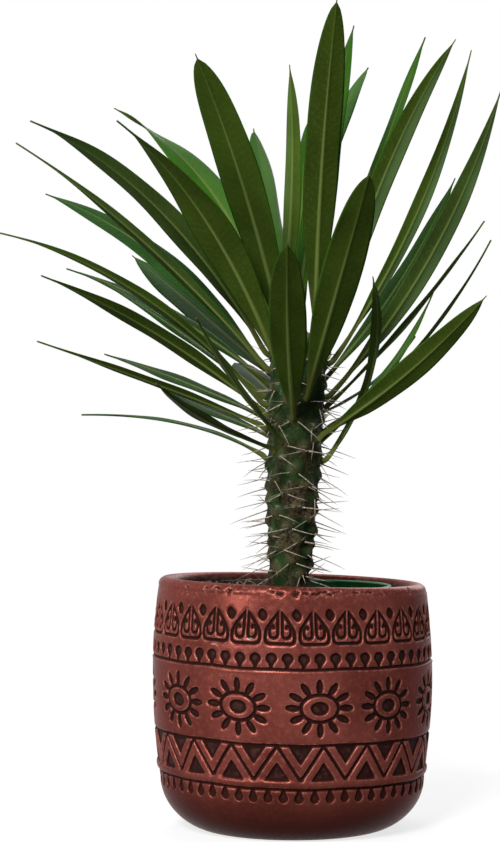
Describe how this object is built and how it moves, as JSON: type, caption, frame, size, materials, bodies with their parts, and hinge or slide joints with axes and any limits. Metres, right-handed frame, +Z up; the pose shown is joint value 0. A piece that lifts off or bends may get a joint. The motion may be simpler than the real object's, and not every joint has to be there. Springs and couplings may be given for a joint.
{
  "type": "potted pachypodium",
  "caption": "Thorny succulent column with a crown of strap leaves, growing in a nursery pot that stands inside a rounded copper-painted ceramic pot with impressed bands.",
  "frame": {"origin": "centre of the ceramic pot's flat underside", "axes": "+Z up along the pot's axis, -Y towards the front, +X to the right seen from the front"},
  "size_m": [0.2448, 0.2374, 0.4113],
  "materials": {
    "copper_ceramic": "satin",
    "green_plastic": "satin",
    "soil": "matte",
    "stem_skin": "matte",
    "leaf": "satin"
  },
  "bodies": {
    "root": {"pot": "copper_ceramic", "nursery_pot": "green_plastic", "potting_soil": "soil", "stem": "stem_skin", "leaf_01": "leaf", "leaf_02": "leaf", "leaf_03": "leaf", "leaf_04": "leaf", "leaf_05": "leaf", "leaf_06": "leaf", "leaf_07": "leaf", "leaf_08": "leaf", "leaf_09": "leaf", "leaf_10": "leaf", "leaf_11": "leaf", "leaf_12": "leaf", "leaf_13": "leaf", "leaf_14": "leaf", "leaf_15": "leaf", "leaf_16": "leaf", "leaf_17": "leaf", "leaf_18": "leaf", "leaf_19": "leaf", "leaf_20": "leaf", "leaf_21": "leaf", "leaf_22": "leaf", "leaf_23": "leaf", "leaf_24": "leaf", "leaf_25": "leaf", "leaf_26": "leaf", "leaf_27": "leaf", "leaf_28": "leaf", "leaf_29": "leaf", "leaf_30": "leaf", "leaf_31": "leaf", "leaf_32": "leaf", "leaf_33": "leaf", "leaf_34": "leaf", "leaf_35": "leaf", "leaf_36": "leaf", "leaf_37": "leaf", "leaf_38": "leaf", "leaf_39": "leaf", "leaf_40": "leaf"}
  },
  "joints": []
}
